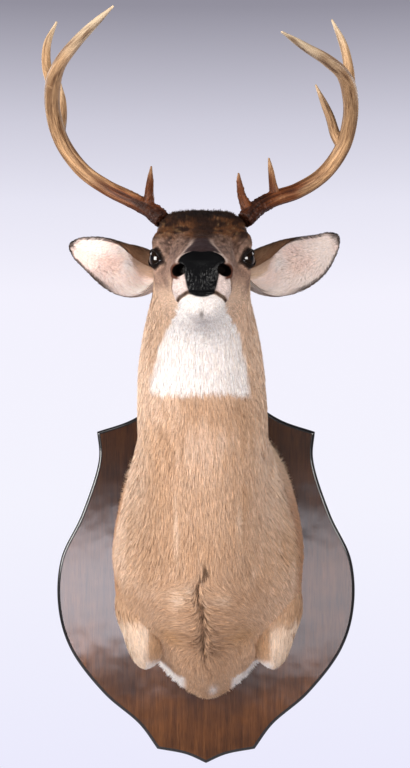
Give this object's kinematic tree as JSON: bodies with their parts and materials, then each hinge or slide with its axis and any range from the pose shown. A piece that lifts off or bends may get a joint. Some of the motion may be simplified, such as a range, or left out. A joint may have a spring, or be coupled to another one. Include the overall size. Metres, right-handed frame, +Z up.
{
  "type": "whitetail buck shoulder mount",
  "caption": "Hanging shoulder mount of a whitetail buck: head, antlers, neck and shoulders fixed to a shield-shaped wooden board.",
  "frame": {"origin": "on the flat back of the board, on its middle line, at the height where the board is widest", "axes": "+Z up, -Y out of the wall, the way the buck faces, +X towards the buck's left"},
  "size_m": [0.5008, 0.5907, 1.1697],
  "materials": {
    "antler": "matte",
    "antler_base": "matte",
    "eye": "gloss",
    "ear": "matte",
    "nose": "satin",
    "face": "matte",
    "white_coat": "matte",
    "board": "gloss",
    "steel": "satin",
    "coat": "matte"
  },
  "bodies": {
    "root": {"antler_left_back_tine": "antler", "antler_left_base": "antler_base", "antler_left_brow_tine": "antler", "antler_left_front_tine": "antler", "antler_left_middle": "antler", "antler_left_second_brow_tine": "antler", "antler_left_tip": "antler", "antler_right_back_tine": "antler", "antler_right_base": "antler_base", "antler_right_brow_tine": "antler", "antler_right_front_tine": "antler", "antler_right_middle": "antler", "antler_right_tip": "antler", "board": "board", "ear_left": "ear", "ear_right": "ear", "eye_left": "eye", "eye_right": "eye", "hanger": "steel", "hanger_screw_lower": "steel", "hanger_screw_upper": "steel", "head": "face", "leg_left": "coat", "leg_right": "coat", "lower_jaw": "white_coat", "muzzle": "face", "neck": "coat", "nose": "nose", "shoulders": "coat"}
  },
  "joints": []
}
